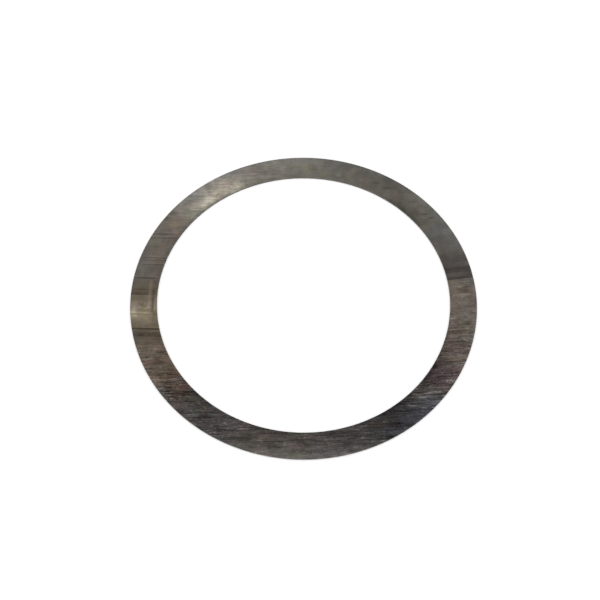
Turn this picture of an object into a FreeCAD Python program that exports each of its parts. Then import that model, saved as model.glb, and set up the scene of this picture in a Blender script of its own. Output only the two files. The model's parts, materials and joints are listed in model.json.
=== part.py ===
# Shim ring: a thin flat ring that takes up the end play between a bearing or gear and its shoulder.
# It is blanked and pierced from hard rolled strip in one stroke of a compound die. The stroke rolls
# both edges over at the same face, and a tumble afterwards only just breaks the corners of the other.
# Sizes are in millimetres. +Z is up: the ring lies on its underside, with the rolled edges on top.
# The origin is the centre of the bore, at the level of the underside.
import FreeCAD, Part
import math
import os

# Driving dimensions
BORE_DIAMETER = 110.0
BAND_WIDTH = 10.0
THICKNESS = 0.5

# Edge form: how far the rolled edge reaches in over the upper face, and how deep it drops
ROLL_REACH = 0.13
ROLL_DROP = 0.08

# Edge form: the radius that tumbling leaves along the lower face
EDGE_BREAK = 0.04

# Sizes that follow from them
BORE_RADIUS = BORE_DIAMETER / 2
RIM_RADIUS = BORE_RADIUS + BAND_WIDTH

AXIS_POINT = FreeCAD.Vector(0, 0, 0)
AXIS = FreeCAD.Vector(0, 0, 1)
FULL_TURN = 360


def section_point(radius, height):
    """A point of the section, which lies in the plane through the axis and +X."""
    return FreeCAD.Vector(radius, 0, height)


def line(start, end):
    """A straight side of the section."""
    return Part.LineSegment(start, end).toShape()


def rounding(start, corner, end):
    """A quarter of an ellipse from start to end, in place of the sharp corner between them.

    A curve of second degree with the corner as its middle pole is a conic, and a weight of the
    square root of one half there makes it the quarter ellipse that leaves both sides tangent.
    """
    curve = Part.BezierCurve()
    curve.setPoles([start, corner, end])
    curve.setWeight(2, math.sqrt(0.5))
    return curve.toShape()


def ring_section():
    """The band cut through: two flat faces and two upright walls, joined by four roundings."""
    # The underside runs outwards from the bore to the rim
    under_bore = section_point(BORE_RADIUS + EDGE_BREAK, 0)
    under_rim = section_point(RIM_RADIUS - EDGE_BREAK, 0)
    # The wall of the rim stands up to where its edge is rolled over
    rim_foot = section_point(RIM_RADIUS, EDGE_BREAK)
    rim_top = section_point(RIM_RADIUS, THICKNESS - ROLL_DROP)
    # The upper face runs back inwards between the two rolled edges
    face_rim = section_point(RIM_RADIUS - ROLL_REACH, THICKNESS)
    face_bore = section_point(BORE_RADIUS + ROLL_REACH, THICKNESS)
    # The wall of the bore goes down again
    bore_top = section_point(BORE_RADIUS, THICKNESS - ROLL_DROP)
    bore_foot = section_point(BORE_RADIUS, EDGE_BREAK)
    return Part.Wire(
        [
            line(under_bore, under_rim),
            rounding(under_rim, section_point(RIM_RADIUS, 0), rim_foot),
            line(rim_foot, rim_top),
            rounding(rim_top, section_point(RIM_RADIUS, THICKNESS), face_rim),
            line(face_rim, face_bore),
            rounding(face_bore, section_point(BORE_RADIUS, THICKNESS), bore_top),
            line(bore_top, bore_foot),
            rounding(bore_foot, section_point(BORE_RADIUS, 0), under_bore),
        ]
    )


def shim_ring():
    """The section carried once round the axis of the bore, as one solid."""
    return Part.Face(ring_section()).revolve(AXIS_POINT, AXIS, FULL_TURN)


os.makedirs("parts", exist_ok=True)
ring = shim_ring()
ring.exportStep("parts/shim_ring.step")
print("shim_ring:", ring.ShapeType, "valid", ring.isValid(), "volume", round(ring.Volume, 2), "mm3")
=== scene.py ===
# %% [markdown]
# A shim ring is a flat ring of hard rolled steel, half a millimetre thick, that takes up the last
# bit of play beside a bearing or a gear. This lesson dresses one: a ring mesh with the real edges
# that a punching die leaves, and a steel finish with a straight rolling grain, old heat tints and
# rubbed streaks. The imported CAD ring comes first, because everything else is measured from it.

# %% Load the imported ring
import json
import math

import bpy
import numpy as np
from mathutils import Matrix, Vector


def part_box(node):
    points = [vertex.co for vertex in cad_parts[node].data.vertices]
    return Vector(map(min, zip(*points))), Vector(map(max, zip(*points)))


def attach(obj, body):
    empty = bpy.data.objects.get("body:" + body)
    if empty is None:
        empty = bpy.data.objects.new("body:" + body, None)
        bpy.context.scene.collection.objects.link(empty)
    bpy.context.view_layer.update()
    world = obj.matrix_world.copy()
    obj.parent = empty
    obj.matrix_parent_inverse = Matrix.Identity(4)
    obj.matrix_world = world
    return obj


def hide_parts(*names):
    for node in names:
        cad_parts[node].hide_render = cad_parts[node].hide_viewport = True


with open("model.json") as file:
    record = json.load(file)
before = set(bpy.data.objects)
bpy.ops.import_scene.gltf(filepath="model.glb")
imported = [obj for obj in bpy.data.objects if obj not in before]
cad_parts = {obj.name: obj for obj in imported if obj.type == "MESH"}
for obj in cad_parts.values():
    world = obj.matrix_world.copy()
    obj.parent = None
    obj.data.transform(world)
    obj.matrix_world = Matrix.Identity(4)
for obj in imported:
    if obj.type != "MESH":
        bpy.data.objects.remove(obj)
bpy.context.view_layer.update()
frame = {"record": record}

# %% [markdown]
# The sizes are the part's own. The record states the radius of the bore and of the rim as mounts,
# and the box gives the thickness, so that nothing here repeats a size of the CAD.

# %% Sizes of the ring
MM = 0.001
mounts = {mount["name"]: mount for mount in frame["record"]["mounts"]}
bore_radius = mounts["bore"]["dims"]["r_mm"] * MM
rim_radius = mounts["rim"]["dims"]["r_mm"] * MM
low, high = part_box("shim_ring")
thickness = high.z - low.z
print(f"bore {2 * bore_radius / MM:.1f} mm, rim {2 * rim_radius / MM:.1f} mm, {thickness / MM:.2f} mm thick")

# %% [markdown]
# A punched edge is never sharp. The die drags the metal down with it, so both edges of the upper
# face are rolled over, further along the face than down. Tumbling only just breaks the lower
# corners. A Bevel modifier would round both directions alike, so here each corner is a quarter of
# an ellipse, and the rest of the section is straight.

# %% Points along one run of the section
ROLL_REACH = 0.13 * MM
ROLL_DROP = 0.08 * MM
EDGE_BREAK = 0.04 * MM


def straight(start, end, steps):
    """Evenly spaced points: the start plus an even share of the way to the end."""
    return start + (end - start) * np.linspace(0, 1, steps)


def rounded(centre, reach, rise, start_turn, steps):
    """A quarter of an ellipse: the centre plus reach times the cosine, and rise times the sine. The
    third value is the size of the cosine: 0 where the curve meets a face, 1 where it meets a wall."""
    turn = start_turn + np.linspace(0, math.pi / 2, steps)
    return centre[0] + reach * np.cos(turn), centre[1] + rise * np.sin(turn), np.abs(np.cos(turn))


print(f"rolled edge {ROLL_REACH / MM:.2f} mm along the face and {ROLL_DROP / MM:.2f} mm down")

# %% [markdown]
# The whole outline of the cut band is eight short runs of points, worked out for all the angles at
# once: one row of the arrays for each angle, one column for each point. The upper face gets a point
# every third of a millimetre, because later steps keep the finish on the points.

# %% The section of the band
FACE_STEPS = 33
UNDER_STEPS = 5
WALL_STEPS = 4
ROLL_STEPS = 7
BREAK_STEPS = 4
TURN_STEPS = 1440
angle = np.arange(TURN_STEPS)[:, None] * (2 * math.pi / TURN_STEPS)


def section(roll_rim, roll_bore):
    """Radius, height and edge weight of each point: flat faces weigh nothing and walls weigh one."""
    shoulder = thickness - ROLL_DROP
    inner_end, outer_end = bore_radius + EDGE_BREAK, rim_radius - EDGE_BREAK
    inner_face, outer_face = bore_radius + roll_bore, rim_radius - roll_rim
    runs = [
        (straight(inner_end, outer_end, UNDER_STEPS), 0.0, 0.0),
        rounded((outer_end, EDGE_BREAK), EDGE_BREAK, EDGE_BREAK, -math.pi / 2, BREAK_STEPS),
        (rim_radius, straight(EDGE_BREAK, shoulder, WALL_STEPS), 1.0),
        rounded((outer_face, shoulder), roll_rim, ROLL_DROP, 0.0, ROLL_STEPS),
        (straight(outer_face, inner_face, FACE_STEPS), thickness, 0.0),
        rounded((inner_face, shoulder), roll_bore, ROLL_DROP, math.pi / 2, ROLL_STEPS),
        (bore_radius, straight(shoulder, EDGE_BREAK, WALL_STEPS), 1.0),
        rounded((inner_end, EDGE_BREAK), EDGE_BREAK, EDGE_BREAK, math.pi, BREAK_STEPS),
    ]
    every_angle = np.zeros((TURN_STEPS, 1))
    without_last = slice(0, -1)
    parts = [np.broadcast_arrays(*run, every_angle)[:3] for run in runs]
    return [np.concatenate([values[:, without_last] for values in kind], axis=1) for kind in zip(*parts)]


print("steps along the upper face:", FACE_STEPS, "and round the ring:", TURN_STEPS)

# %% [markdown]
# The die is a little worn, so the roll isn't the same all the way round. Its reach is the plain value
# times a slow wave of the angle, with whole numbers of waves, so that the wave meets itself.

# %% A slowly changing rolled edge
WEAR = 0.25
rng = np.random.default_rng(7)


def slow_wave(waves):
    """The mean of sines of the angle, one for each number of waves, each with a random phase; it stays
    within plus or minus one."""
    phase = rng.uniform(0, 2 * math.pi, len(waves))
    return np.sin(angle * np.array(waves) + phase).sum(axis=1, keepdims=True) / len(waves)


roll_at_rim = ROLL_REACH * (1 + WEAR * slow_wave([2, 3, 7, 11]))
roll_at_bore = ROLL_REACH * (1 + WEAR * slow_wave([1, 4, 6, 13]))
radius, height, edge = section(roll_at_rim, roll_at_bore)
print("section of", radius.shape[1], "points at", TURN_STEPS, "angles")

# %% [markdown]
# The walls were sheared, and shearing leaves fine upright marks. A random depth for each angle,
# averaged with its two neighbours, pushes the walls into the band by up to about a hundredth of a
# millimetre, so the ring never grows past its true size.

# %% Shear marks on the walls
SHEAR_DEPTH = 0.012 * MM
depth = rng.random(TURN_STEPS)
depth = (depth + np.roll(depth, 1) + np.roll(depth, -1))[:, None] / 3
into_band = np.where(radius > (rim_radius + bore_radius) / 2, -1.0, 1.0)
radius = radius + into_band * SHEAR_DEPTH * depth * edge
print("deepest shear mark:", round(float((SHEAR_DEPTH * depth).max() / MM), 4), "mm")

# %% [markdown]
# The points become a closed surface: each quad joins two neighbours along the section with the
# same two at the next angle, and both directions wrap round, so there is no seam and no pole.

# %% The ring as a mesh
rows, columns = radius.shape
points = np.stack([radius * np.cos(angle), radius * np.sin(angle), height], axis=-1).reshape(-1, 3)
index = np.arange(rows * columns).reshape(rows, columns)
next_angle = np.roll(index, -1, axis=0)
next_point = np.roll(index, -1, axis=1)
across_both = np.roll(next_angle, -1, axis=1)
quads = np.stack([index, next_angle, across_both, next_point], axis=-1).reshape(-1, 4)

ring_mesh = bpy.data.meshes.new("rolled_ring")
ring_mesh.from_pydata(points, [], quads)
ring_mesh.shade_smooth()
ring_mesh.validate()
ring = bpy.data.objects.new("rolled_ring", ring_mesh)
bpy.context.scene.collection.objects.link(ring)
print("quads:", len(ring_mesh.polygons))

# %% [markdown]
# Strip steel carries the marks of the rolls in one direction. On this ring they run across it almost
# along X, a little tilted and bent. Two numbers follow them: how far along the grain a point lies
# and how far across it, both in millimetres. Two more say how far it is from the bore and the rim.

# %% Places on the ring
GRAIN_TILT = 0.05
GRAIN_BEND = 0.0002
x_mm, y_mm, z_mm = (points / MM).T
across = y_mm - GRAIN_TILT * x_mm - GRAIN_BEND * x_mm**2
from_bore = np.hypot(x_mm, y_mm) - bore_radius / MM
from_rim = rim_radius / MM - np.hypot(x_mm, y_mm)
print("grain runs from", round(float(across.min()), 1), "to", round(float(across.max()), 1), "mm across")

# %% [markdown]
# The finish of a used ring is a map: where it is dark, where it is bright and what colour its film has.
# Part of the dark and the bright is painted shade and a painted highlight. Such a map could be held in
# an image, but here it is worked out for every point of the mesh and kept as attributes, so it has no
# seams and follows the ring. The mesh is fine enough, with about three points to a millimetre. The two
# helpers are a smooth ramp and a patchy noise.

# %% Ramp and noise
NOISE_HALF = 80.0


def ramp(value, start, end):
    """0 up to start and 1 past end, with a smooth S between them; start may be the larger one."""
    share = np.clip((value - start) / (end - start), 0.0, 1.0)
    return share * share * (3.0 - 2.0 * share)


def patches(length, width, seed):
    """Smooth noise from 0 to 1: random values on cells of length by width mm along the grain, with an
    S-shaped blend of the four nearest cells at each point."""
    along_cells, across_cells = (x_mm + NOISE_HALF) / length, (across + NOISE_HALF) / width
    counts = int(2 * NOISE_HALF / width) + 2, int(2 * NOISE_HALF / length) + 2
    cells = np.random.default_rng(seed).random(counts)
    column, row = along_cells.astype(int), across_cells.astype(int)
    right, up = ramp(along_cells - column, 0.0, 1.0), ramp(across_cells - row, 0.0, 1.0)
    lower = cells[row, column] * (1 - right) + cells[row, column + 1] * right
    upper = cells[row + 1, column] * (1 - right) + cells[row + 1, column + 1] * right
    return lower * (1 - up) + upper * up


print("points that hold the maps:", len(x_mm))

# %% [markdown]
# The near half of the ring has been rubbed hard along the grain, and the far half hardly at all. The
# border between them rises slightly to the right. Rubbing drags every mark out along the grain, so the
# place is smeared by a streaky noise, much more on the near half than on the far one.

# %% The rubbed half and the smeared place
RUBBED_SLOPE = 0.18
SMEAR = 5.0
FAR_SMEAR = 1.5
below_border = RUBBED_SLOPE * x_mm - y_mm
near_half = ramp(below_border, -25.0, -5.0)
reach_of_smear = FAR_SMEAR + (SMEAR - FAR_SMEAR) * near_half
smeared_x = x_mm + reach_of_smear * (patches(22.0, 1.2, 41) - 0.5)
print("share of the ring on the near half:", round(float(near_half.mean()), 2))

# %% [markdown]
# A zone is a stretch of the band, given by its bearing round the ring in degrees from +X. It is taken
# from the smeared place, so it never ends in a clean line, unless it asks for the plain bearing. A
# spot is a smaller mark: an ellipse with a place, two half sizes and a turn.

# %% Zones and spots
smeared_bearing = np.degrees(np.arctan2(y_mm, smeared_x))
plain_bearing = np.degrees(np.arctan2(y_mm, x_mm))
outwards = ramp(from_bore, 0.0, (rim_radius - bore_radius) / MM)


def zone(middle, reach, core=0.0, at_bore=1.0, at_rim=1.0, bearing=smeared_bearing):
    """1 within core degrees of the middle and 0 past reach degrees, weighted from bore to rim."""
    off = np.abs((bearing - middle + 180.0) % 360.0 - 180.0)
    return ramp(off, reach, core) * (at_bore + (at_rim - at_bore) * outwards)


def spot(x, y, half_length, half_width, turn=4.0, core=0.3, place_x=x_mm):
    """1 in the core of an ellipse at a place in mm and 0 past it; the distance is one at its outline."""
    cosine, sine = math.cos(math.radians(turn)), math.sin(math.radians(turn))
    along = ((place_x - x) * cosine + (y_mm - y) * sine) / half_length
    aside = ((y_mm - y) * cosine - (place_x - x) * sine) / half_width
    return ramp(np.hypot(along, aside), 1.0, core)


degrees_smeared = np.abs(smeared_bearing - plain_bearing)
print("most that a bearing is smeared:", round(float(degrees_smeared.max()), 1), "degrees")

# %% [markdown]
# The shade says how light the steel is, as a multiple of its plain tone, and starts at one. Each
# broad zone has a name, a bearing, a reach and a core in degrees, a weight at the bore and at the
# rim, and the amount by which it lightens or darkens. The near side is the darkest, most of all to
# its right, and a patch of pale streaks lies between that corner and the right. The darker near side
# and the lighter far side are partly the steel's own tone and partly painted shade and light.

# %% Light and dark zones
# The dark near side and light far side are partly painted shade and light.
BROAD_ZONES = [
    ("near side", 270, 78, 42, 1.0, 1.0, -0.40), ("near right", 303, 22, 8, 1.0, 1.0, -0.34),
    ("darkest corner", 305, 8, 3, 1.0, 0.7, -0.16), ("beside it", 295, 8, 3, -0.8, 1.0, -0.14),
    ("pale streaks", 315, 8, 3, 0.7, 1.0, 0.42), ("plum shadow", 325, 9, 4, 1.0, 0.2, -0.32),
    ("plum side", 335, 16, 8, 1.0, 0.4, -0.29), ("worn plum rim", 335, 9, 4, 0.0, 1.0, 0.12),
    ("right", 355, 15, 8, 1.0, 1.0, 0.12), ("right bore", 4, 5, 2, 1.0, 0.0, 0.16),
    ("above the strips", 15, 6, 3, 1.0, 0.1, -0.17), ("far right rim", 31, 17, 9, 0.0, 1.0, 0.17),
    ("far right bore", 45, 8, 4, 1.0, -1.1, -0.16), ("brown drift", 55, 7, 3, -0.8, 1.0, -0.09),
    ("far side", 75, 18, 10, 1.0, 0.8, 0.07), ("far rim", 93, 14, 8, -0.2, 1.0, 0.16),
    ("before the patch", 105, 7, 3, 1.0, 0.5, -0.14), ("behind the patch", 137, 6, 2, 1.0, 0.6, 0.10),
    ("far left", 158, 20, 9, 1.0, 1.0, -0.22), ("far left bore", 155, 7, 3, 1.0, 0.0, -0.12),
    ("left rim", 164, 7, 3, 0.0, 1.0, 0.16), ("left", 185, 6, 3, -0.2, 1.0, 0.16),
    ("brown side", 194, 9, 4, 1.0, 1.0, -0.26), ("near left", 225, 18, 6, 1.0, 1.1, -0.16),
    ("near left rim", 243, 6, 3, -0.7, 1.0, -0.15), ("worn near middle", 262, 13, 6, -0.6, 1.0, 0.16),
]
shade = np.ones_like(x_mm)
for _, middle, reach, core, at_bore, at_rim, amount in BROAD_ZONES:
    shade *= 1 + amount * zone(middle, reach, core, at_bore, at_rim)
print("broad zones:", ", ".join(row[0] for row in BROAD_ZONES))

# %% [markdown]
# The two edges of the band have zones of their own. A highlight is painted along the near rim, there is
# a dark margin along parts of the bore, and highlights are painted on the rolled edge itself, on the
# near side and on the far left.

# %% Margins along the rim and the bore
rim_margin = ramp(from_rim, 4.0, 0.4)
bore_margin = ramp(from_bore, 3.0, 0.2)
bore_line = ramp(from_bore, 2.0, 0.6)
bore_edge = ramp(from_bore, 1.1, 0.3)
# Painted highlight along the near rim, where the rolled edge faces the light.
shade *= 1 + 0.20 * rim_margin * zone(268, 92, 52)
shade *= 1 - 0.16 * bore_margin * zone(285, 75, 40)
shade *= 1 - 0.22 * bore_line * zone(45, 12, 8)
shade *= 1 - 0.16 * bore_line * zone(142, 48, 32)
shade *= 1 - 0.34 * bore_edge * zone(130, 9, 6, bearing=plain_bearing)
shade *= 1 - 0.16 * ramp(from_bore, 1.4, 0.5) * zone(144, 7, 4, bearing=plain_bearing)
# More painted highlight along the near rim.
shade += 0.28 * rim_margin * zone(272, 30, 10)

# Painted highlights on the rolled edge, where it faces the light.
ROLLED_EDGE_HIGHLIGHTS = [(270, 85, 50, smeared_bearing, 0.30), (288, 38, 24, smeared_bearing, 0.25),
                     (136, 15, 9, plain_bearing, 0.70)]
rolled = ramp(edge.ravel(), 0.05, 0.35)
for middle, reach, core, bearing, amount in ROLLED_EDGE_HIGHLIGHTS:
    shade *= 1 + amount * rolled * zone(middle, reach, core, bearing=bearing)
print("shade with its margins: up to", round(float(shade.max()), 2))

# %% [markdown]
# On the far left, beside the bore, a highlight is painted into the steel, over a partly burnished
# patch. The patch is a stretch of the band, taken from the plain bearing so that its ends stay sharp,
# and it fades towards the rim. Brighter spots lie in it, each with a place, two half sizes, a turn
# and an amount. The painted highlight and burnish is a map of its own, because the material breaks
# it up with a mottle.

# %% The painted highlight on the burnished patch
HIGHLIGHT_AND_BURNISH_SPOTS = [(-27.0, 50.6, 5.5, 1.7, 20.0, 0.45), (-37.0, 44.6, 5.0, 2.2, 48.0, 0.50),
                 (-30.5, 53.6, 5.5, 2.0, 30.0, 0.16), (-31.6, 50.2, 4.0, 2.2, 36.0, 0.20),
                 (-44.5, 41.0, 3.0, 2.4, 40.0, 0.22)]
beside_bore = ramp(from_bore, 6.2, 2.8)
beside_rim = ramp(from_bore, 3.0, 5.0) * ramp(from_rim, -1.5, 3.5)
highlight_and_burnish = 0.64 * beside_bore * zone(125.0, 11.8, 8.5, bearing=plain_bearing)
highlight_and_burnish += 0.34 * beside_rim * zone(125.5, 7.5, 3.0, bearing=plain_bearing)
for x, y, half_length, half_width, turn, amount in HIGHLIGHT_AND_BURNISH_SPOTS:
    highlight_and_burnish += amount * spot(x, y, half_length, half_width, turn)
print("brightest burnish:", round(float(highlight_and_burnish.max()), 2))

# %% [markdown]
# Single marks come last: pale scrapes, with an amount above zero, and dark stains, with one below it.
# Each has a place, two half sizes in millimetres and an amount, and is turned to lie along the grain.
# The far side has few of them.

# %% Single marks on the far side
def marked(shade_so_far, rows):
    """The shade times one plus the amount of each row, where that row's spot is 1."""
    for x, y, half_length, half_width, amount in rows:
        along_grain = math.degrees(math.atan(GRAIN_TILT + 2 * GRAIN_BEND * x))
        shade_so_far = shade_so_far * (1 + amount * spot(x, y, half_length, half_width, along_grain))
    return shade_so_far


FAR_MARKS = [
    (14.0, 56.6, 2.0, 1.5, 0.34), (-43.5, 47.2, 2.6, 1.1, 0.22), (-36.3, 53.2, 1.3, 0.9, 0.40),
    (-30.5, 56.6, 2.0, 0.8, 0.14), (-1.0, 60.2, 5.0, 2.6, 0.16), (29.3, 52.4, 2.0, 1.2, -0.26),
    (33.3, 49.9, 2.6, 0.8, -0.24), (43.6, 43.2, 1.4, 0.5, -0.20), (-19.0, 55.3, 3.0, 1.8, -0.14),
    (-15.0, 58.0, 2.2, 0.8, -0.14), (-38.2, 50.4, 2.6, 2.0, -0.30), (6.0, 59.0, 2.6, 0.4, -0.14),
    (37.8, 42.6, 1.2, 0.6, -0.28), (43.5, 37.5, 3.4, 3.0, -0.14),
]
shade = marked(shade, FAR_MARKS)
print("marks on the far side:", len(FAR_MARKS))

# %% [markdown]
# The left has the most: small crisp scrapes as from another part's edge, and softer stains around them.

# %% Single marks on the left
LEFT_MARKS = [
    (-62.8, -8.2, 1.4, 0.7, 0.35), (-63.4, -5.6, 1.3, 2.3, 0.38), (-58.6, -4.8, 1.0, 0.9, 0.22),
    (-57.5, -2.6, 0.7, 1.0, 0.22), (-53.0, -34.4, 3.6, 0.5, 0.9), (-51.6, -38.0, 2.0, 0.4, 1.0),
    (-50.2, -39.8, 2.4, 0.5, 1.1), (-46.6, -45.0, 2.6, 1.0, 0.35), (-53.0, 36.6, 1.1, 0.8, 0.22),
    (-42.8, 39.6, 2.6, 0.35, 0.35), (-50.5, 32.5, 4.0, 3.4, 0.10), (-58.8, -20.7, 6.0, 0.4, 0.40),
    (-58.0, -26.3, 3.5, 0.4, 0.45), (-52.0, -33.6, 4.0, 0.8, 0.20), (-58.5, -10.8, 4.5, 2.2, 0.12),
    (-50.3, -33.4, 3.6, 2.0, 0.30), (-48.4, -42.2, 3.0, 2.2, 0.60), (-44.0, -42.0, 2.4, 1.8, 0.22),
    (-60.8, -2.2, 0.9, 0.4, 0.30), (-59.2, -5.3, 1.3, 0.4, 0.30), (-57.6, -4.8, 1.0, 0.4, 0.25),
    (-61.3, -4.6, 0.6, 0.5, 0.35), (-53.5, -22.0, 3.6, 2.4, 0.15), (-59.0, 26.5, 4.5, 6.0, 0.18),
    (-62.2, 10.8, 2.2, 5.0, 0.13), (-46.4, -42.6, 2.6, 1.6, 0.18), (-53.4, 22.0, 2.4, 3.0, 0.15),
    (-56.0, -29.2, 2.4, 1.6, 0.14), (-51.0, 38.0, 3.0, 1.8, -0.20), (-61.0, -3.2, 1.8, 1.4, -0.28),
    (-46.0, -42.9, 3.4, 0.6, -0.15), (-50.0, -31.9, 3.0, 0.45, -0.35), (-49.5, -35.6, 3.5, 0.5, -0.30),
    (-43.8, 38.8, 3.2, 0.7, -0.20), (-53.4, 35.4, 1.2, 0.7, -0.25), (-56.4, 6.5, 0.8, 0.9, -0.25),
    (-56.5, 2.6, 0.9, 1.2, -0.25), (-60.0, -16.2, 2.0, 0.8, -0.25), (-55.5, -15.8, 3.0, 1.2, -0.20),
    (-53.0, -27.2, 4.0, 2.4, -0.30), (-60.3, -3.6, 0.8, 0.5, -0.25), (-59.0, -3.9, 0.6, 0.5, -0.20),
    (-57.5, -26.5, 3.4, 2.4, -0.14), (-48.4, -31.4, 3.0, 1.8, -0.14), (-46.0, -36.0, 3.6, 2.0, -0.12),
]
shade = marked(shade, LEFT_MARKS)
print("marks on the left:", len(LEFT_MARKS))

# %% [markdown]
# On the near side thin scrapes lie along the grain, and broad soft marks make it patchy.

# %% Single marks on the near side
NEAR_MARKS = [
    (-40.2, -46.6, 1.5, 0.5, 0.9), (-27.5, -53.4, 3.6, 0.5, 1.0), (-22.0, -53.6, 2.0, 0.45, 0.9),
    (-6.0, -60.2, 6.5, 2.4, 0.30), (5.0, -60.8, 7.0, 2.8, 0.14), (20.5, -57.0, 0.9, 0.6, 0.8),
    (20.0, -52.6, 5.0, 0.45, 0.7), (24.5, -49.6, 3.2, 0.40, 0.7), (41.5, -43.4, 3.0, 0.45, 0.9),
    (38.6, -44.8, 2.6, 0.40, 0.9), (42.6, -45.6, 2.0, 0.40, 0.8), (-13.0, -61.0, 3.6, 2.2, 0.18),
    (5.0, -57.0, 6.0, 1.4, 0.20), (-30.6, -48.6, 2.8, 1.4, 0.20), (-43.5, -46.0, 2.8, 0.5, -0.20),
    (-35.0, -48.5, 2.6, 0.8, -0.30), (14.0, -58.8, 3.6, 2.8, -0.20), (25.0, -53.0, 4.5, 2.2, -0.20),
    (-28.6, -53.4, 4.0, 2.0, -0.30), (17.0, -55.6, 4.4, 3.0, -0.22), (29.6, -48.2, 4.4, 2.2, -0.22),
    (-21.5, -57.8, 4.5, 3.4, -0.16), (31.5, -52.6, 4.0, 1.2, -0.08), (40.6, -44.3, 3.2, 1.8, -0.20),
]
shade = marked(shade, NEAR_MARKS)
print("marks on the near side:", len(NEAR_MARKS))

# %% [markdown]
# The right has thin scrapes too, and dull stains and light patches between them.

# %% Single marks on the right
RIGHT_MARKS = [
    (46.0, -39.7, 5.0, 0.50, 1.1), (42.0, -41.6, 3.0, 0.40, 0.8), (52.5, -34.8, 3.4, 0.45, 0.9),
    (60.9, -7.4, 1.6, 0.9, 0.30), (60.5, 0.9, 4.5, 0.4, 0.35), (59.5, 4.5, 1.8, 0.4, 0.35),
    (60.0, -2.7, 3.2, 0.4, 0.30), (56.0, -9.4, 1.8, 0.4, 0.40), (62.0, -9.0, 1.4, 0.4, 0.35),
    (44.5, -41.2, 4.5, 0.9, 0.40), (55.4, -9.2, 1.2, 0.4, 0.45), (61.5, 14.6, 3.0, 2.2, 0.18),
    (49.9, -38.4, 3.4, 1.6, 0.28), (48.2, -30.6, 2.8, 1.8, 0.38), (54.6, -17.0, 2.8, 2.0, 0.36),
    (55.9, 29.2, 3.2, 2.8, 0.30), (50.3, 35.6, 2.2, 0.6, -0.34), (47.5, 37.3, 2.0, 0.6, -0.28),
    (58.2, -4.6, 1.2, 1.6, -0.25), (61.4, 4.4, 2.4, 0.7, -0.34), (60.0, 2.7, 3.0, 2.2, -0.34),
    (62.2, -4.0, 1.0, 0.5, -0.30), (60.4, -8.6, 1.0, 0.4, -0.30), (59.5, -11.5, 5.0, 0.7, -0.34),
    (61.0, -11.2, 3.0, 0.8, -0.20), (52.4, -29.6, 3.0, 3.4, -0.15), (42.6, -38.8, 3.2, 2.2, -0.32),
    (56.0, -12.6, 2.4, 1.4, -0.15), (60.2, -18.9, 2.4, 2.2, -0.15), (52.8, -22.2, 2.8, 1.8, -0.15),
]
shade = marked(shade, RIGHT_MARKS)
print("marks on the right:", len(RIGHT_MARKS))

# %% [markdown]
# This map says how hard the face is rubbed, which sets how strong the streaks are. It rises in two
# steps from the border of the near half. Each zone in the table then changes it by its last number.
# The worn near rim, the right, the flat strip on the left and the stretch below it are smoother, and
# the near right and the lower left are the roughest.

# %% How hard the face is rubbed
RUBBED_ZONES = [(266, 26, 14, 0.35, 1.0, -0.45), (320, 14, 8, 1.0, 0.4, 0.45), (206, 24, 12, 1.0, 1.0, 0.34),
                (6, 18, 10, 1.0, 1.0, -0.36), (196, 6, 4, 1.0, 1.0, -0.65)]
first_step = 0.55 * ramp(below_border, -1.0, 4.0)
second_step = ramp(below_border, 8.0, 32.0)
rubbing = np.maximum(first_step, second_step)
for middle, reach, core, at_bore, at_rim, amount in RUBBED_ZONES:
    rubbing *= 1 + amount * zone(middle, reach, core, at_bore, at_rim)
flat_strip = spot(-59.5, -10.8, 7.0, 3.2)
rubbing *= 1 - 0.50 * flat_strip
print("rubbed part of the face:", round(float((rubbing > 0.3).mean()), 2))

# %% [markdown]
# Heat and oil don't colour steel evenly. On the near half the film is broken into streaks by the
# rubbing, and on the far half it lies in clouds. One patchy map holds both, and says at each point how
# much of a film comes through.

# %% How evenly a film lies
streaky = 0.5 * (patches(7.0, 2.2, 51) + patches(3.0, 1.2, 52))
cloudy = patches(6.0, 4.5, 53)
patchy = ramp(cloudy + near_half * (streaky - cloudy), 0.05, 0.45)
print("share of a film that comes through, on average:", round(float(patchy.mean()), 2))

# %% [markdown]
# The film is the colour of the steel apart from its tone: red, green and blue with green near one. A
# slow drift keeps most of the ring between warm grey, olive and tan, and the rim is worn to a cooler
# grey all the way round.

# %% The drift of the film
WARM_GREY = (1.08, 1.00, 0.86)
OLIVE = (1.04, 1.00, 0.82)
TAN = (1.19, 0.99, 0.84)
COOL_GREY = (1.04, 1.00, 0.92)


def blend(colours, share, film):
    """Each point's colour moved towards the film's colour by its share."""
    return colours + share[:, None] * (np.array(film) - colours)


drift = 0.5 * (patches(8.0, 5.0, 61) + patches(4.0, 2.5, 62))
plain_film = blend(np.full((len(x_mm), 3), WARM_GREY), ramp(drift, 0.52, 0.75), OLIVE)
plain_film = blend(plain_film, 0.6 * ramp(drift, 0.42, 0.22), TAN)
film_map = blend(plain_film, 0.75 * ramp(from_rim, 5.0, 1.0), COOL_GREY)
print("mean colour of the plain film:", plain_film.mean(axis=0).round(3))

# %% [markdown]
# Heat and oil have coloured the rest by zones: brown to rust on the left, dusky grey on the near
# side, slate and plum on the near right. Each film has bearings and weights as the zones of shade
# do, and the patchy map lets it through unevenly.

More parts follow.
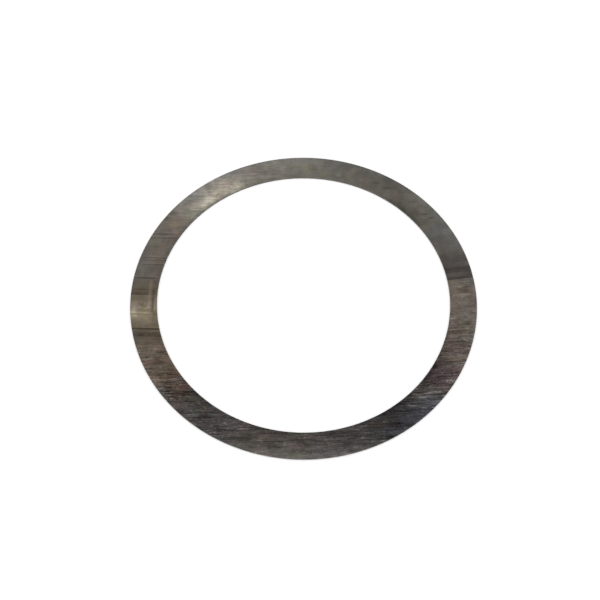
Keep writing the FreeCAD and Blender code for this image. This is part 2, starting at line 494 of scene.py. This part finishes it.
# %% Films by zone
ROSE = (1.24, 0.98, 0.88)
UMBER = (1.34, 0.99, 0.76)
BROWN = (1.25, 1.00, 0.74)
RUST = (1.46, 0.96, 0.78)
DUSK = (1.19, 1.00, 0.92)
BRONZE = (1.22, 0.99, 0.83)
STEEL_BLUE = (1.09, 1.00, 0.98)
SLATE = (0.99, 1.00, 1.13)
PLUM = (1.36, 0.96, 1.03)
CLARET = (1.31, 0.98, 0.88)
FILM_ZONES = [
    (DUSK, 13.2, 8, 5, 1.0, 0.6), (COOL_GREY, 27, 9, 5, 0.8, 1.0), (OLIVE, 40, 12, 6, 1.0, 0.5),
    (TAN, 160, 26, 12, 1.0, 0.4), (BROWN, 198, 12, 7, 1.0, 1.0), (UMBER, 208, 9, 5, 1.0, 0.9),
    (RUST, 218, 7, 4, 1.0, 0.1), (DUSK, 262, 28, 18, 1.0, 0.3), (STEEL_BLUE, 238, 12, 6, 1.0, 1.0),
    (STEEL_BLUE, 292, 26, 18, 1.0, 1.0), (SLATE, 308, 13, 8, 0.2, 1.0), (PLUM, 328, 8, 4, 1.0, 0.6),
    (CLARET, 336, 8, 4, 1.0, 0.9), (BRONZE, 354, 14, 9, 1.0, 0.7),
]
for film, middle, reach, core, at_bore, at_rim in FILM_ZONES:
    film_map = blend(film_map, patchy * zone(middle, reach, core, at_bore, at_rim), film)
print("films by zone:", len(FILM_ZONES))

# %% [markdown]
# Some films have other borders. A straw-coloured stretch on the left ends at the height of a strip
# there, and has a brown one at its rim. On the near side the drift itself turns rose and olive.

# %% Films with other borders
STRAW = (1.20, 1.01, 0.71)
left_side = ramp(x_mm, -40.0, -52.0)
straw_height = ramp(y_mm, 9.0, 2.0) * ramp(y_mm, -13.8, -13.2)
film_map = blend(film_map, left_side * straw_height, STRAW)
brown_height = ramp(np.abs(y_mm - 2.0), 2.0, 1.3)
film_map = blend(film_map, ramp(x_mm, -57.6, -58.8) * brown_height, BROWN)
near_side = zone(264, 24, 12)
film_map = blend(film_map, 0.4 * near_side * ramp(drift, 0.60, 0.75), ROSE)
film_map = blend(film_map, near_side * ramp(drift, 0.40, 0.25), OLIVE)
print("mean colour with its films:", film_map.mean(axis=0).round(3))

# %% [markdown]
# Under the painted highlight the partly burnished steel has lost its film and shows a pale warm colour.
# Patches of colour lie on top of the zones. They are spots at the smeared place, so their outlines are
# dragged out along the grain too. The far side has mostly grey, olive and tan ones.

# %% Patches of colour on the far side
HIGHLIGHT_AND_BURNISH_FILM = (1.10, 1.00, 0.81)
PEWTER = (1.01, 1.00, 0.99)
PATCH_SHARE = 0.70


def patched(colours, rows):
    """The colours moved part of the way towards the film of each row, where that row's spot is 1."""
    for film, x, y, half_length, half_width in rows:
        patch = spot(x, y, half_length, half_width, core=0.0, place_x=smeared_x)
        colours = blend(colours, PATCH_SHARE * patch, film)
    return colours


FAR_PATCHES = [
    (ROSE, 37.4, 46.4, 3.4, 3.6), (ROSE, 45.5, 38.8, 3.4, 2.4), (OLIVE, 41.8, 45.6, 3.6, 3.4),
    (OLIVE, 30.5, 52.4, 5.0, 2.6), (PEWTER, 11.0, 60.0, 4.0, 2.6), (TAN, 18.8, 58.0, 4.2, 3.4),
    (STRAW, 2.0, 60.0, 3.4, 2.8), (PEWTER, -30.5, 56.6, 3.0, 1.6), (ROSE, -31.2, 52.0, 4.2, 3.0),
    (TAN, -21.0, 58.5, 6.0, 3.0), (OLIVE, -38.0, 50.6, 3.0, 2.2), (PEWTER, -43.5, 47.4, 2.6, 1.6),
    (OLIVE, 21.0, 53.0, 4.5, 3.4), (TAN, 39.0, 42.0, 3.4, 3.0), (PEWTER, 12.4, 55.6, 3.2, 1.6),
    (COOL_GREY, -37.6, 43.8, 3.0, 2.4),
]
film_map = blend(film_map, np.clip(highlight_and_burnish, 0.0, 1.0), HIGHLIGHT_AND_BURNISH_FILM)
film_map = patched(film_map, FAR_PATCHES)
print("patches of colour on the far side:", len(FAR_PATCHES))

# %% [markdown]
# The left has mostly warmer ones, from straw to rust.

# %% Patches of colour on the left
LEFT_PATCHES = [
    (ROSE, -63.2, -4.4, 3.0, 3.6), (ROSE, -58.6, -2.2, 3.4, 3.0), (RUST, -47.0, -37.2, 3.6, 2.8),
    (RUST, -46.4, -40.6, 4.0, 2.4), (STRAW, -53.0, -30.0, 4.5, 2.6), (ROSE, -51.0, 38.0, 3.0, 1.8),
    (STRAW, -50.5, 32.8, 4.5, 3.8), (OLIVE, -59.0, 27.0, 6.0, 6.0), (OLIVE, -59.5, 11.0, 7.5, 4.4),
    (RUST, -57.2, -18.2, 3.2, 2.0), (STRAW, -54.0, -18.8, 2.4, 1.6), (STRAW, -58.5, -22.6, 3.4, 2.4),
    (PLUM, -56.2, -29.0, 3.2, 2.6), (STRAW, -51.2, -32.8, 4.2, 2.2), (RUST, -53.2, -27.2, 3.8, 2.8),
    (STRAW, -48.8, -30.2, 3.2, 2.6), (ROSE, -46.2, -33.6, 3.0, 1.6), (ROSE, -54.0, -22.0, 3.0, 2.2),
    (OLIVE, -61.5, -16.5, 2.6, 2.0),
]
film_map = patched(film_map, LEFT_PATCHES)
print("patches of colour on the left:", len(LEFT_PATCHES))

# %% [markdown]
# The near side and the right have the widest range, from plum and steel blue to straw.

# %% Patches of colour on the near side and the right
NEAR_PATCHES = [
    (PLUM, -44.0, -44.8, 4.5, 2.2), (RUST, -27.4, -55.6, 2.4, 1.0), (RUST, -15.5, -57.0, 1.6, 1.2),
    (OLIVE, -11.5, -60.5, 4.0, 2.4), (PLUM, -3.0, -60.2, 4.5, 2.4), (DUSK, 7.5, -59.0, 5.0, 2.4),
    (STEEL_BLUE, -18.5, -60.0, 3.4, 1.8), (UMBER, 26.0, -52.0, 4.0, 2.0), (OLIVE, 29.5, -50.0, 3.4, 2.6),
    (PLUM, 32.5, -52.0, 3.4, 1.6), (ROSE, 6.0, -56.6, 9.0, 2.0), (UMBER, -34.8, -45.6, 3.2, 1.8),
]
RIGHT_PATCHES = [
    (STRAW, 53.5, -26.5, 3.6, 2.6), (ROSE, 58.6, -23.6, 2.6, 2.4), (PEWTER, 53.0, 30.5, 4.0, 4.0),
    (OLIVE, 50.0, 34.2, 3.4, 2.2), (OLIVE, 61.0, -7.4, 2.4, 2.6), (STRAW, 58.0, 6.4, 4.0, 1.8),
    (STRAW, 58.5, -14.0, 4.0, 2.2), (DUSK, 57.6, -4.6, 2.2, 2.2), (TAN, 48.2, -30.6, 3.2, 2.0),
    (PLUM, 47.6, -36.8, 3.0, 1.4), (PEWTER, 58.0, 15.4, 7.0, 2.6),
]
film_map = patched(film_map, NEAR_PATCHES + RIGHT_PATCHES)
print("patches of colour on the rest:", len(NEAR_PATCHES + RIGHT_PATCHES))

# %% [markdown]
# All these marks are on the upper face. The underside, which rests on whatever the ring lies on,
# keeps the plain grain and the plain drift of the film. The maps then go onto the mesh.

# %% Maps on the mesh
upper_face = (z_mm > thickness / MM / 2).astype(float)
shade = 1 + upper_face * (shade - 1)
highlight_and_burnish = upper_face * highlight_and_burnish
rubbing = upper_face * rubbing
film_map = plain_film + upper_face[:, None] * (film_map - plain_film)


def keep(name, values):
    """Writes one number or one vector per point on the mesh, as an attribute of that name."""
    kind, field = ("FLOAT_VECTOR", "vector") if values.ndim == 2 else ("FLOAT", "value")
    layer = ring_mesh.attributes.new(name, kind, "POINT")
    layer.data.foreach_set(field, values.astype(np.float32).ravel())


keep("grain", np.stack([x_mm, across, z_mm], axis=-1))
keep("edge", edge.ravel())
keep("shade", shade)
keep("highlight_and_burnish", highlight_and_burnish)
keep("rubbing", rubbing)
keep("film", film_map)
print("shade from", round(float(shade.min()), 2), "to", round(float(shade.max()), 2))

# %% [markdown]
# The rest of the finish is finer than the mesh, so the material makes it. It is built up in steps
# from small helpers. A helper either writes a plain number on an input or links a socket to it, so
# the steps below read like arithmetic.

# %% Helpers for the steel
steel = bpy.data.materials.new("rolled_steel")
steel.use_nodes = True
nodes = steel.node_tree.nodes
links = steel.node_tree.links
nodes.clear()


def feed(target, value):
    """Links a socket to an input, or writes a plain number or colour on it."""
    if isinstance(value, bpy.types.NodeSocket):
        links.new(value, target)
    else:
        target.default_value = value


def calc(operation, first, second=0.0):
    """One step of arithmetic on two numbers or sockets."""
    node = nodes.new("ShaderNodeMath")
    node.operation = operation
    feed(node.inputs[0], first)
    feed(node.inputs[1], second)
    return node.outputs[0]


def scaled(first, factor):
    """A vector or a colour times a number."""
    node = nodes.new("ShaderNodeVectorMath")
    node.operation = "SCALE"
    feed(node.inputs[0], first)
    feed(node.inputs["Scale"], factor)
    return node.outputs["Vector"]


print("material:", steel.name)

# %% [markdown]
# Two more helpers bring the ramp of the maps and the blend of two colours into the material.

# %% Ramp and blend as nodes
def soft_step(value, start, end):
    """The ramp again, as a node: 0 up to start and 1 past end; start may be the larger one."""
    node = nodes.new("ShaderNodeMapRange")
    node.interpolation_type = "SMOOTHSTEP"
    rising = start < end
    node.inputs["From Min"].default_value = min(start, end)
    node.inputs["From Max"].default_value = max(start, end)
    node.inputs["To Min"].default_value = 0.0 if rising else 1.0
    node.inputs["To Max"].default_value = 1.0 if rising else 0.0
    links.new(value, node.inputs["Value"])
    return node.outputs["Result"]


def mixed(share, first, second):
    """A colour between first and second: share 0 is all first, share 1 all second."""
    node = nodes.new("ShaderNodeMix")
    node.data_type = "RGBA"
    node.clamp_factor = True
    sockets = {s.identifier: s for s in node.inputs}
    feed(sockets["Factor_Float"], share)
    feed(sockets["A_Color"], first)
    feed(sockets["B_Color"], second)
    return {s.identifier: s for s in node.outputs}["Result_Color"]


# %% [markdown]
# The material reads the maps, and the plain place on the ring in millimetres. Noise is drawn along
# and across the grain, stretched until each patch is as long and as wide as the mark it stands for.

# %% Maps, places and stretched noise
maps = {}
for name in ("grain", "edge", "shade", "highlight_and_burnish", "rubbing", "film"):
    maps[name] = nodes.new("ShaderNodeAttribute")
    maps[name].attribute_name = name
object_at = nodes.new("ShaderNodeTexCoord")
split_place = nodes.new("ShaderNodeSeparateXYZ")
links.new(scaled(object_at.outputs["Object"], 1 / MM), split_place.inputs[0])
place_x, place_y, place_z = split_place.outputs


def marks(length, width, seed, detail=2.0, roughness=0.5):
    """Noise from 0 to 1 whose patches are about length mm along the grain and width mm across it."""
    mapping = nodes.new("ShaderNodeMapping")
    mapping.inputs["Location"].default_value = (seed, 2.7 * seed, 0.0)
    mapping.inputs["Scale"].default_value = (1 / length, 1 / width, 0.5)
    links.new(maps["grain"].outputs["Vector"], mapping.inputs["Vector"])
    texture = nodes.new("ShaderNodeTexNoise")
    texture.inputs["Scale"].default_value = 1.0
    texture.inputs["Detail"].default_value = detail
    texture.inputs["Roughness"].default_value = roughness
    links.new(mapping.outputs[0], texture.inputs["Vector"])
    return texture.outputs["Fac"]


print("maps in the material:", ", ".join(maps))

# %% [markdown]
# Real rubbing marks are short, straight and parallel. Stretched noise wanders, so the finest marks are
# drawn in rows instead: the band is cut into narrow rows along the grain, and each row reads its own
# line of a noise. A jump between the lines keeps neighbours apart, and a shift along the row keeps
# their dashes from ending side by side.

# %% Dashes in rows
ROW_JUMP = 3.7
ROW_SHIFT = 0.59
split_grain = nodes.new("ShaderNodeSeparateXYZ")
links.new(maps["grain"].outputs["Vector"], split_grain.inputs[0])


def dashes(length, width, seed, detail=1.0):
    """Noise from 0 to 1 in straight rows: the number of the row across the grain takes the place of the
    distance across, so each row of width mm has its own run of dashes, about length mm long."""
    row = calc("FLOOR", calc("DIVIDE", split_grain.outputs["Y"], width))
    shift = calc("MULTIPLY", row, ROW_SHIFT)
    place = nodes.new("ShaderNodeCombineXYZ")
    links.new(calc("ADD", calc("DIVIDE", split_grain.outputs["X"], length), shift), place.inputs["X"])
    links.new(calc("ADD", calc("MULTIPLY", row, ROW_JUMP), seed), place.inputs["Y"])
    texture = nodes.new("ShaderNodeTexNoise")
    texture.inputs["Scale"].default_value = 1.0
    texture.inputs["Detail"].default_value = detail
    links.new(place.outputs[0], texture.inputs["Vector"])
    return texture.outputs["Fac"]


# %% [markdown]
# The tone of the grain adds up five patterns: fine dashes, long lines and broad streaks, strong on the
# near half where the ring has been rubbed, soft clouds that show on both halves, and a fine speckle.
# Each pattern has a size where the face is plain and another where it is rubbed.

# %% The tone of the grain
rubbed = maps["rubbing"].outputs["Fac"]
fine = soft_step(dashes(6.5, 0.42, 11.3, detail=2.0), 0.30, 0.70)
lines = soft_step(marks(22.0, 0.50, 83.0), 0.32, 0.68)
broad = soft_step(marks(11.0, 1.6, 17.0), 0.30, 0.70)
cloud = soft_step(marks(3.6, 3.4, 3.0), 0.32, 0.68)
speckle = soft_step(marks(0.9, 0.55, 29.0), 0.30, 0.70)
PATTERNS = [(fine, 0.05, 0.62), (lines, 0.03, 0.46), (broad, 0.03, 0.26), (cloud, 0.23, 0.26),
            (speckle, 0.12, 0.40)]


def swing(pattern, plain, strong):
    """A pattern as a share above or below the plain tone, growing from plain to strong where rubbed."""
    size = calc("ADD", plain, calc("MULTIPLY", rubbed, strong - plain))
    return calc("MULTIPLY", calc("SUBTRACT", pattern, 0.5), size)


tone = 1.0
for pattern, plain, strong in PATTERNS:
    tone = calc("ADD", tone, swing(pattern, plain, strong))
print("patterns in the grain:", len(PATTERNS))

# %% [markdown]
# Scratches are the peaks of three more noises in rows: light ones that cut through to clean steel,
# much shorter glints, which are highlights painted on them, and dark ones that hold dirt. They show
# only where the face is rubbed.

# %% Scratches
def lightened(tone_so_far, mask, amount):
    """The tone times one plus the amount where the mask is 1; a negative amount darkens."""
    return calc("MULTIPLY", tone_so_far, calc("ADD", 1.0, calc("MULTIPLY", mask, amount)))


light_scratch = calc("MULTIPLY", soft_step(dashes(5.5, 0.36, 23.7, detail=2.0), 0.56, 0.70), rubbed)
dark_scratch = calc("MULTIPLY", soft_step(dashes(7.0, 0.45, 31.1, detail=2.0), 0.54, 0.70), rubbed)
# Glints: painted highlights on the scratches.
glint = calc("MULTIPLY", soft_step(dashes(1.6, 0.34, 47.9), 0.60, 0.70), rubbed)
tone = lightened(tone, light_scratch, 0.75)
tone = lightened(tone, glint, 0.75)
tone = lightened(tone, dark_scratch, -0.36)
print("nodes after the scratches:", len(nodes))

# %% [markdown]
# The maps join in here: the shade multiplies the grain, and the painted highlight and burnish
# brightens it. A mottle lets at least a share of it through everywhere, and all of it on its peaks.

# %% Shade, painted highlight and burnish
MOTTLE_FLOOR = 0.4
mottle = soft_step(marks(1.9, 1.2, 71.0, detail=4.0, roughness=0.65), 0.34, 0.60)
mottled = calc("ADD", MOTTLE_FLOOR, calc("MULTIPLY", mottle, 1.0 - MOTTLE_FLOOR))
tone = calc("MULTIPLY", tone, maps["shade"].outputs["Fac"])
tone = lightened(tone, calc("MULTIPLY", maps["highlight_and_burnish"].outputs["Fac"], mottled), 1.0)
print("nodes after the burnish:", len(nodes))

# %% [markdown]
# On the left and on the right the rubbing ends in straight strips and lines, each at its own
# height. A light line is where an edge has just scraped past, a dark one is where it stopped. A line
# is placed by its height at the middle of the band on its side, and each side has its own slope.

# %% Straight strips across the band
middle_of_band = (bore_radius + rim_radius) / 2 / MM
LEFT, RIGHT = -middle_of_band, middle_of_band
SLOPES = {LEFT: -0.035, RIGHT: 0.14}
LINE_BLUR = 0.25
upper = soft_step(place_z, 0.4 * thickness / MM, 0.6 * thickness / MM)
beside, levels = {}, {}
for middle_x, slope in SLOPES.items():
    rise = calc("MULTIPLY", calc("SUBTRACT", place_x, middle_x), slope)
    levels[middle_x] = calc("SUBTRACT", place_y, rise)
    near_middle = soft_step(place_x, 0.4 * middle_x, 0.7 * middle_x)
    beside[middle_x] = calc("MULTIPLY", upper, near_middle)


def strip(side, top, bottom, top_blur=LINE_BLUR, bottom_blur=LINE_BLUR):
    """1 between two heights in mm on one side of the ring; each blur reaches out of the strip."""
    below_top = soft_step(levels[side], top + top_blur, top)
    above_bottom = soft_step(levels[side], bottom - bottom_blur, bottom)
    return calc("MULTIPLY", beside[side], calc("MULTIPLY", below_top, above_bottom))


print("slopes of the strips, left and right:", *SLOPES.values())

# %% [markdown]
# A broad strip on the left has a top and a bottom, two blurs, the part of the band that it crosses, and
# an amount. A line, light or dark, has sharp borders and needs no blurs of its own.

# %% Strips on the left
all_across = 1.0
outer_left = soft_step(place_x, -57.6, -58.8)
short_of_bore = soft_step(place_x, -55.8, -56.6)
BROAD_STRIPS = [
    (-4.0, -13.2, 3.2, LINE_BLUR, all_across, 0.40), (-7.0, -9.0, 0.6, 3.2, short_of_bore, 0.34),
    (5.0, 0.9, 3.0, LINE_BLUR, all_across, -0.14),
]
LEFT_LINES = [
    (-13.5, -13.9, all_across, -0.42), (-14.2, -14.7, all_across, 0.15), (-15.2, -16.8, all_across, -0.20),
    (1.6, 0.8, outer_left, -0.36), (3.2, 2.9, outer_left, -0.34), (2.2, 2.0, outer_left, -0.20),
    (7.8, 3.6, outer_left, -0.10), (8.5, 8.0, short_of_bore, -0.36), (8.9, 8.7, all_across, 0.18),
    (-6.4, -7.0, outer_left, 0.24), (-7.5, -7.8, all_across, -0.22),
]
for top, bottom, top_blur, bottom_blur, part, amount in BROAD_STRIPS:
    tone = lightened(tone, calc("MULTIPLY", strip(LEFT, top, bottom, top_blur, bottom_blur), part), amount)
for top, bottom, part, amount in LEFT_LINES:
    tone = lightened(tone, calc("MULTIPLY", strip(LEFT, top, bottom), part), amount)
print("strips and lines on the left:", len(BROAD_STRIPS + LEFT_LINES))

# %% [markdown]
# Further up on the left there are thin scratched lines. Each is a dark line with a pale one just above
# it, where the metal was pushed up. A row holds the level, half the dark line's width, how far above
# the level the pale line starts, the part of the band, and the two amounts.

# %% Scratched lines on the left
PALE_WIDTH = 0.2
inside_left = soft_step(place_x, -62.4, -60.8)
short_of_rim = calc("MULTIPLY", soft_step(place_x, -59.5, -58.0), soft_step(place_x, -48.0, -51.0))
SCRATCHED_LINES = [(14.2, 0.1, 0.5, inside_left, -0.30, 0.16), (16.2, 0.1, 0.5, inside_left, -0.30, 0.16),
                   (17.25, 0.1, 0.5, inside_left, -0.30, 0.16), (26.4, 0.3, 0.75, short_of_rim, -0.22, 0.14),
                   (28.1, 0.3, 0.75, short_of_rim, -0.22, 0.14)]
for level, half_width, pale_start, part, dark, pale in SCRATCHED_LINES:
    dark_line = strip(LEFT, level + half_width, level - half_width)
    pale_line = strip(LEFT, level + pale_start + PALE_WIDTH, level + pale_start)
    tone = lightened(tone, calc("MULTIPLY", dark_line, part), dark)
    tone = lightened(tone, calc("MULTIPLY", pale_line, part), pale)
print("scratched lines on the left:", len(SCRATCHED_LINES))

# %% [markdown]
# Beside the left bore upright lines are left from another part's edge. They are long in Y and narrow
# in X, so each is a product of steps in both directions. A row holds the place and half the width in
# X, the two ends in Y, and the amount.

# %% Upright lines on the left
END_FADE = 0.5
UPRIGHT_LINES = [(-55.6, 0.45, -0.8, -6.0, 0.50), (-56.5, 0.45, 2.0, -6.5, -0.35),
                 (-57.8, 0.90, 6.5, 1.5, 0.26), (-57.9, 1.10, 1.0, -4.5, 0.34)]


def upright(x, half_width, top, bottom):
    """1 on an upright line at a place in mm, faded over half a millimetre at its two ends."""
    sides = calc("MULTIPLY", soft_step(place_x, x - half_width, x), soft_step(place_x, x + half_width, x))
    top_end = soft_step(place_y, top + END_FADE, top)
    bottom_end = soft_step(place_y, bottom - END_FADE, bottom)
    return calc("MULTIPLY", upper, calc("MULTIPLY", sides, calc("MULTIPLY", top_end, bottom_end)))


for x, half_width, top, bottom, amount in UPRIGHT_LINES:
    tone = lightened(tone, upright(x, half_width, top, bottom), amount)
print("upright lines:", len(UPRIGHT_LINES))

# %% [markdown]
# On the right the rubbing starts with a broad dark stretch and two dark strips. The strips let the
# grain's long lines through, and the upper one is deeper towards the rim.

# %% Strips on the right
STREAK_FLOOR = 0.40
BORE_DEPTH = 0.65
streaked = calc("ADD", STREAK_FLOOR, calc("MULTIPLY", lines, 1.0 - STREAK_FLOOR))
towards_rim = calc("MULTIPLY", soft_step(place_x, 56.0, 61.0), 1.0 - BORE_DEPTH)
deeper = calc("MULTIPLY", streaked, calc("ADD", BORE_DEPTH, towards_rim))
tone = lightened(tone, strip(RIGHT, 16.5, 8.0, 5.0, 0.8), -0.26)
tone = lightened(tone, calc("MULTIPLY", strip(RIGHT, 13.1, 11.2, 0.7, 0.5), deeper), -0.44)
tone = lightened(tone, calc("MULTIPLY", strip(RIGHT, 8.9, 7.9), streaked), -0.40)
print("nodes after the strips:", len(nodes))

# %% [markdown]
# Film times tone times the plain tone is the colour of the rolled faces, and a scratch shows a plainer
# grey. The rolled-over edge is a little darker, apart from the highlights painted on it. Below it the
# wall has two zones: the die cuts the upper part cleanly, which leaves bare metal, and the rest breaks
# off rough, and is painted dark, partly for that rough break and partly as painted shadow at the foot
# of the wall.

# %% Faces, rolled edges and walls
PLAIN_TONE = 0.098
SCRATCH_GREY = (1.04, 1.00, 0.93, 1.0)
BARE_STEEL = (0.200, 0.190, 0.174, 1.0)
BROKEN_STEEL_AND_SHADOW = (0.075, 0.070, 0.064, 1.0)
edge_share = maps["edge"].outputs["Fac"]
tone = lightened(tone, soft_step(edge_share, 0.05, 0.35), -0.25)
tint = mixed(calc("MULTIPLY", light_scratch, 0.6), maps["film"].outputs["Vector"], SCRATCH_GREY)
face_colour = scaled(tint, calc("MULTIPLY", tone, PLAIN_TONE))
# The lower wall: rough broken steel and painted shadow where the wall meets the floor.
broken_and_shadowed = soft_step(place_z, 0.55 * thickness / MM, 0.40 * thickness / MM)
wall_colour = mixed(broken_and_shadowed, BARE_STEEL, BROKEN_STEEL_AND_SHADOW)
finished = mixed(soft_step(edge_share, 0.70, 0.98), face_colour, wall_colour)
print("plain tone of the steel:", PLAIN_TONE)

# %% [markdown]
# Streaks are not only colour. They are shallow furrows, so the same noises raise a small bump. The
# steel is a little glossier on the peaks of the fine dashes, and duller between them.

# %% Furrows, gloss and the shader
PEAK_ROUGHNESS = 0.19
EXTRA_ROUGHNESS = 0.06
furrow = nodes.new("ShaderNodeBump")
furrow.inputs["Strength"].default_value = 0.10
furrow.inputs["Distance"].default_value = 0.02 * MM
links.new(calc("ADD", fine, light_scratch), furrow.inputs["Height"])
roughness = calc("ADD", PEAK_ROUGHNESS, calc("MULTIPLY", calc("SUBTRACT", 1.0, fine), EXTRA_ROUGHNESS))
shader = nodes.new("ShaderNodeBsdfPrincipled")
shader.inputs["Metallic"].default_value = 1.0
links.new(roughness, shader.inputs["Roughness"])
links.new(finished, shader.inputs["Base Color"])
links.new(furrow.outputs[0], shader.inputs["Normal"])
surface = nodes.new("ShaderNodeOutputMaterial")
links.new(shader.outputs[0], surface.inputs["Surface"])
ring_mesh.materials.append(steel)
print("steel nodes:", len(nodes))

# %% [markdown]
# The dressed ring stands for the CAD ring and rides on the same body.

# %% The ring takes its place
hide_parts("shim_ring")
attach(ring, "root")
print("the ring has", len(ring_mesh.vertices), "points")

# %% [markdown]
# The floor is a plain pale sheet. Camera rays, reflections and rays through glass see it glow a
# little on top of its own shade, so it looks white, and the ring's thin shadow still darkens it.

# %% The floor
FLOOR_HALF = 4.0
FLOOR_PAINT = (0.8, 0.8, 0.8, 1.0)
FLOOR_GLOW = 0.25
floor_mesh = bpy.data.meshes.new("floor")
corners = FLOOR_HALF * np.array([(-1, -1, 0), (1, -1, 0), (1, 1, 0), (-1, 1, 0)])
floor_mesh.from_pydata(corners, [], [(0, 1, 2, 3)])
floor = bpy.data.objects.new("floor", floor_mesh)
bpy.context.scene.collection.objects.link(floor)
pale = bpy.data.materials.new("pale_floor")
pale.use_nodes = True
nodes, links = pale.node_tree.nodes, pale.node_tree.links
nodes.clear()
path = nodes.new("ShaderNodeLightPath")
seen = calc("MAXIMUM", path.outputs["Is Camera Ray"], path.outputs["Is Glossy Ray"])
seen = calc("MAXIMUM", seen, path.outputs["Is Transmission Ray"])
paint = nodes.new("ShaderNodeBsdfDiffuse")
paint.inputs["Color"].default_value = FLOOR_PAINT
glow = nodes.new("ShaderNodeEmission")
links.new(calc("MULTIPLY", seen, FLOOR_GLOW), glow.inputs["Strength"])
both = nodes.new("ShaderNodeAddShader")
links.new(paint.outputs[0], both.inputs[0])
links.new(glow.outputs[0], both.inputs[1])
floor_surface = nodes.new("ShaderNodeOutputMaterial")
links.new(both.outputs[0], floor_surface.inputs["Surface"])
floor_mesh.materials.append(pale)
print("floor of", 2 * FLOOR_HALF, "m")

# %% [markdown]
# Plain studio light: an even white room, at the level where a colour shows as it is written, and one
# soft panel to the far left that gives the steel its gentle highlight.

# %% Room and panel
ROOM_LEVEL = 1.0
world = bpy.data.worlds.new("pale_room")
bpy.context.scene.world = world
world.use_nodes = True
room = world.node_tree.nodes["Background"]
room.inputs["Color"].default_value = (1.0, 1.0, 1.0, 1.0)
room.inputs["Strength"].default_value = ROOM_LEVEL


def towards(turn, elevation):
    """The unit direction that is turned to the right of +Y and raised above the floor, in degrees."""
    a, e = math.radians(turn), math.radians(elevation)
    return Vector((math.sin(a) * math.cos(e), math.cos(a) * math.cos(e), math.sin(e)))


def soft_panel(name, turn, elevation, distance, size, power):
    """A square area lamp that faces the ring from that direction."""
    data = bpy.data.lights.new(name, "AREA")
    data.shape = "SQUARE"
    data.size = size
    data.energy = power
    lamp = bpy.data.objects.new(name, data)
    lamp.location = distance * towards(turn, elevation)
    lamp.rotation_euler = towards(turn, elevation).to_track_quat("Z", "Y").to_euler()
    bpy.context.scene.collection.objects.link(lamp)


soft_panel("far_left_panel", turn=-8.5, elevation=54.0, distance=1.2, size=0.17, power=0.26)
print("lamps:", len(bpy.data.lights))

# %% [markdown]
# The camera stands as the photographer did: in front of the ring and well above it, looking down at it
# by sixty degrees from about forty centimetres.

# %% The camera
CAMERA_ELEVATION = 60.27
CAMERA_DISTANCE = 408.3 * MM
CAMERA_LENS = 65.2
AIM = Vector((-1.33 * MM, -1.20 * MM, 0.0))
camera_data = bpy.data.cameras.new("camera")
camera_data.lens = CAMERA_LENS
camera_data.sensor_width = 36.0
camera_data.clip_start = 0.01
camera = bpy.data.objects.new("camera", camera_data)
tip = Matrix.Rotation(math.radians(90 - CAMERA_ELEVATION), 4, "X")
camera.matrix_world = Matrix.Translation(AIM) @ tip @ Matrix.Translation((0, 0, CAMERA_DISTANCE))
bpy.context.scene.collection.objects.link(camera)
bpy.context.scene.camera = camera
bpy.context.scene.view_settings.view_transform = "Standard"
print("camera at", [round(value, 3) for value in camera.matrix_world.translation])
